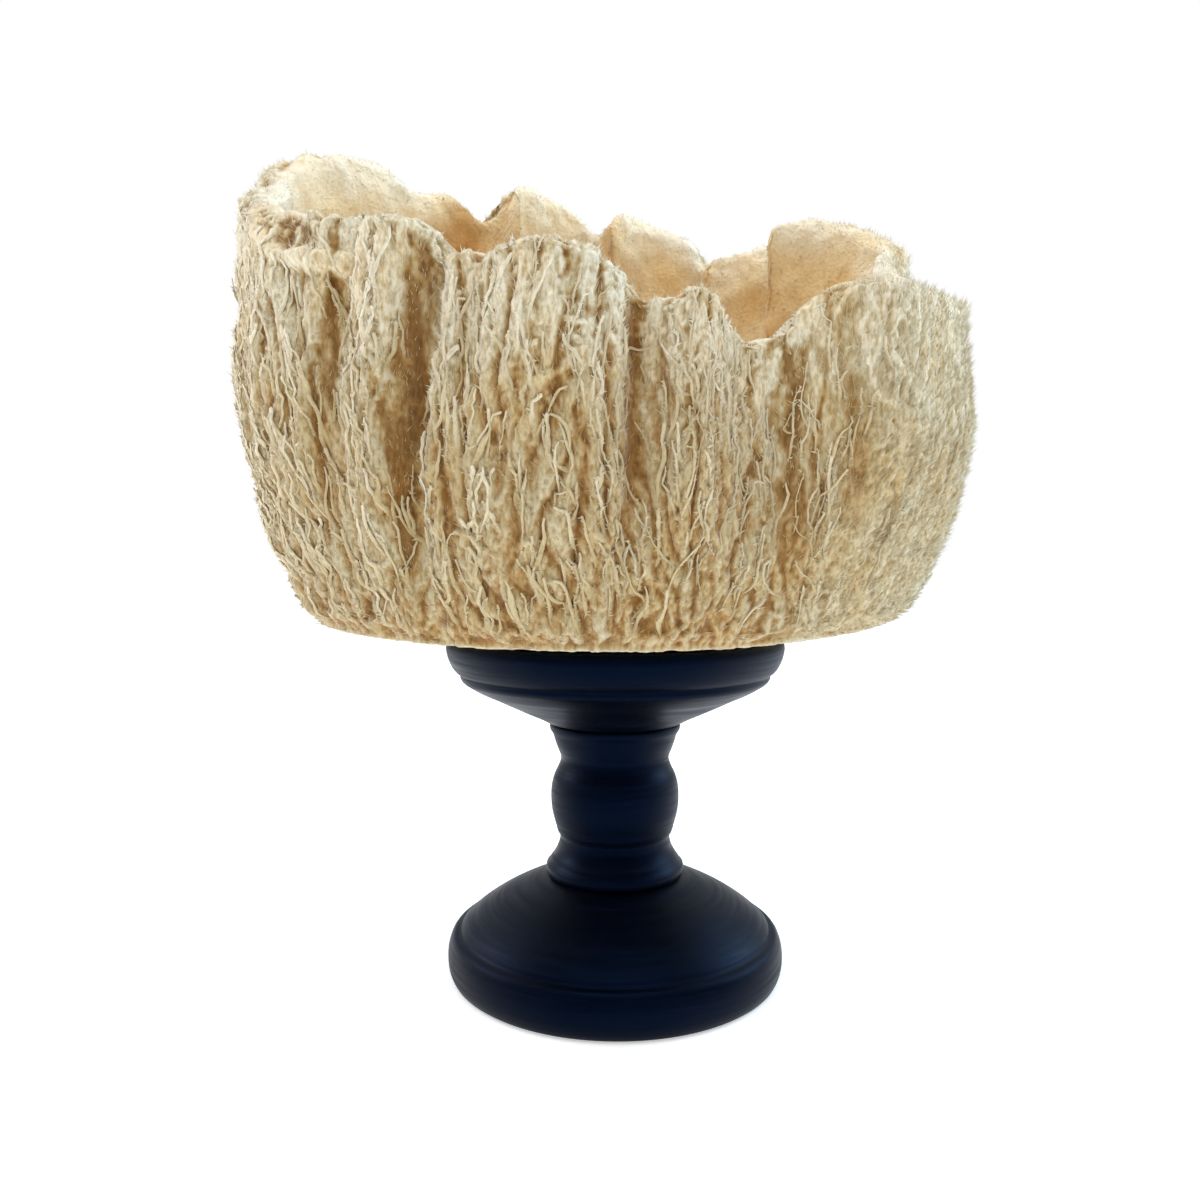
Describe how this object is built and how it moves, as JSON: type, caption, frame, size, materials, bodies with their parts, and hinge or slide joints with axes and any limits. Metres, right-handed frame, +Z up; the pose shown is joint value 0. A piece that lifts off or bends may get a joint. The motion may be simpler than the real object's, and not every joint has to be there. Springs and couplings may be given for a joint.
{
  "type": "sea sponge on a stand",
  "caption": "Cup-shaped dried sea sponge with a folded, fibrous wall, resting on a small black turned wooden pedestal.",
  "frame": {"origin": "centre of the flat underside of the stand's foot", "axes": "+Z up along the stand's turning axis; -Y is the front, the side with the deep creases; +X is the viewer's right"},
  "size_m": [0.2173, 0.1665, 0.2595],
  "materials": {
    "sponge": "matte",
    "ebonised_wood": "satin"
  },
  "bodies": {
    "root": {"sponge": "sponge", "stand_top": "ebonised_wood", "stand_stem": "ebonised_wood", "stand_foot": "ebonised_wood"}
  },
  "joints": []
}
